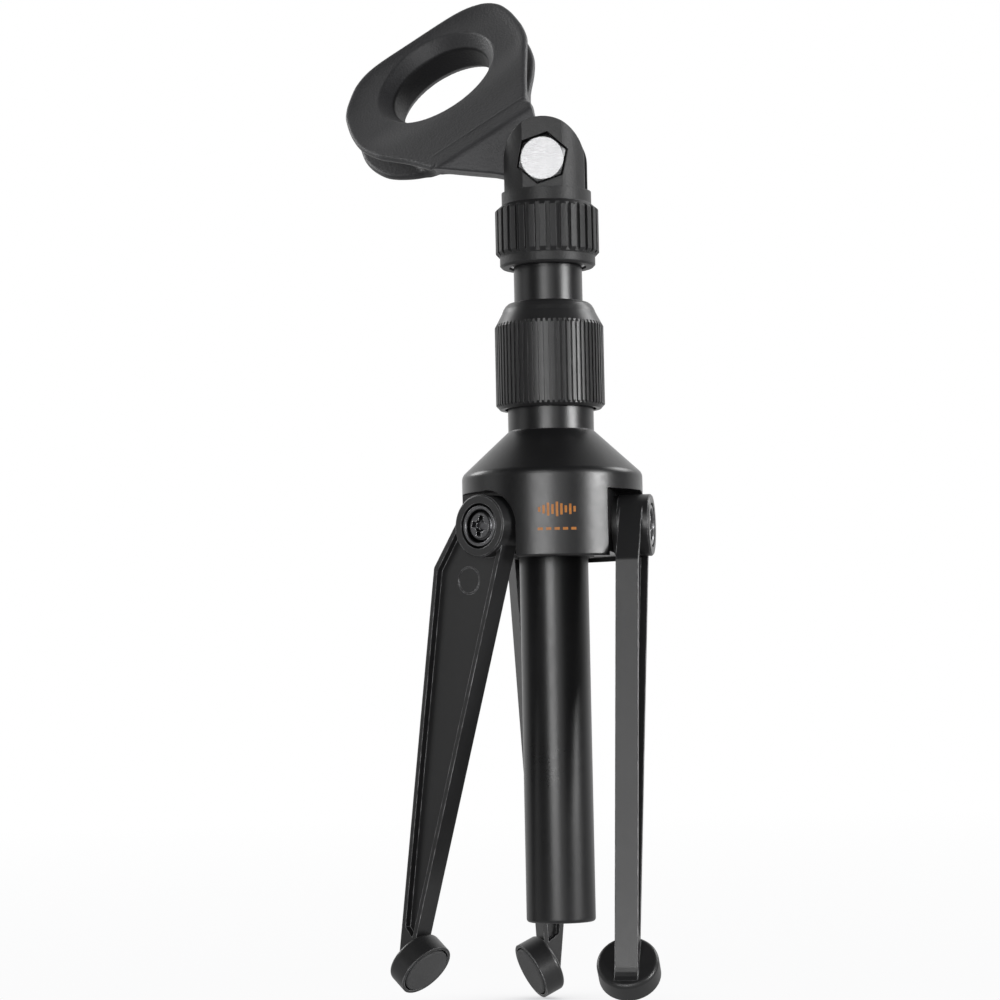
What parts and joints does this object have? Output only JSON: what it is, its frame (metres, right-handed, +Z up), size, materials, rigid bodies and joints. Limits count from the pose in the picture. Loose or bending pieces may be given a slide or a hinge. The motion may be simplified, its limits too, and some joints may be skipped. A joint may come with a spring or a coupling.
{
  "type": "desktop microphone stand",
  "caption": "Folding tripod desktop stand with a height-adjustable tube, knurled clamp knob and a tilting flexible microphone clip.",
  "frame": {"origin": "centre of the tube's lower end face", "axes": "+Z up along the tube, the clip bolt along Y with its head on the -Y side"},
  "size_m": [0.0761, 0.0817, 0.2427],
  "materials": {
    "satin_black_metal": "satin black coating",
    "black_nylon": "satin moulded",
    "clip_rubber": "fine matte grain",
    "pad_rubber": "matte",
    "bright_nickel": "bright nickel plate",
    "dark_steel": "black oxide",
    "steel": "turned",
    "white_nylon": "natural"
  },
  "bodies": {
    "hub": {"hub_body": "satin_black_metal", "tube_guide_bush": "black_nylon", "leg_friction_washers": "black_nylon", "leg_pivot_bushes": "dark_steel", "leg_pivot_screws": "dark_steel", "clamp_collet": "white_nylon"},
    "leg_left": {"leg_left": "satin_black_metal", "foot_pad_left": "pad_rubber"},
    "leg_right": {"leg_right": "satin_black_metal", "foot_pad_right": "pad_rubber"},
    "leg_rear": {"leg_rear": "satin_black_metal", "foot_pad_rear": "pad_rubber"},
    "clamp_ring": {"clamp_cone_ring": "steel"},
    "clamp_knob": {"clamp_knob": "satin_black_metal"},
    "tube": {"sliding_tube": "satin_black_metal", "tube_end_plug": "black_nylon"},
    "clip_fork": {"clip_fork": "black_nylon", "thread_insert": "bright_nickel", "clip_bolt": "bright_nickel", "clip_washer": "bright_nickel", "clip_nut": "bright_nickel"},
    "mic_clip": {"mic_clip": "clip_rubber"}
  },
  "joints": [
    {"name": "leg_left_swing", "type": "hinge", "parent": "hub", "child": "leg_left", "pos_m": [-0.01291, -0.01423, 0.0908], "axis": [0.5548, 0.832, 0], "range_deg": [-14.9, 51.1]},
    {"name": "leg_right_swing", "type": "hinge", "parent": "hub", "child": "leg_right", "pos_m": [0.01878, -0.00407, 0.0908], "axis": [-0.9979, 0.0645, 0], "range_deg": [-17.3, 48.7]},
    {"name": "leg_rear_swing", "type": "hinge", "parent": "hub", "child": "leg_rear", "pos_m": [-0.00586, 0.0183, 0.0908], "axis": [0.4431, -0.8965, 0], "range_deg": [-1, 65]},
    {"name": "tube_slide", "type": "slide", "parent": "hub", "child": "tube", "axis": [0, 0, 1], "range_m": [-0.006, 0.075]},
    {"name": "knob_lift", "type": "slide", "parent": "hub", "child": "clamp_ring", "axis": [0, 0, 1], "range_m": [0, 0.0015]},
    {"name": "knob_turn", "type": "hinge", "parent": "clamp_ring", "child": "clamp_knob", "pos_m": [0, 0, 0.131], "axis": [0, 0, 1], "range_deg": [0, 360]},
    {"name": "clip_swivel", "type": "hinge", "parent": "tube", "child": "clip_fork", "pos_m": [0, 0, 0.158], "axis": [0, 0, 1], "range_deg": [-180, 180]},
    {"name": "clip_tilt", "type": "hinge", "parent": "clip_fork", "child": "mic_clip", "pos_m": [0, 0, 0.1763], "axis": [0, 1, 0], "range_deg": [-15, 105]}
  ],
  "couplings": [
    {"joint": "knob_turn", "follows": "knob_lift", "rad_per_m": 4188}
  ]
}
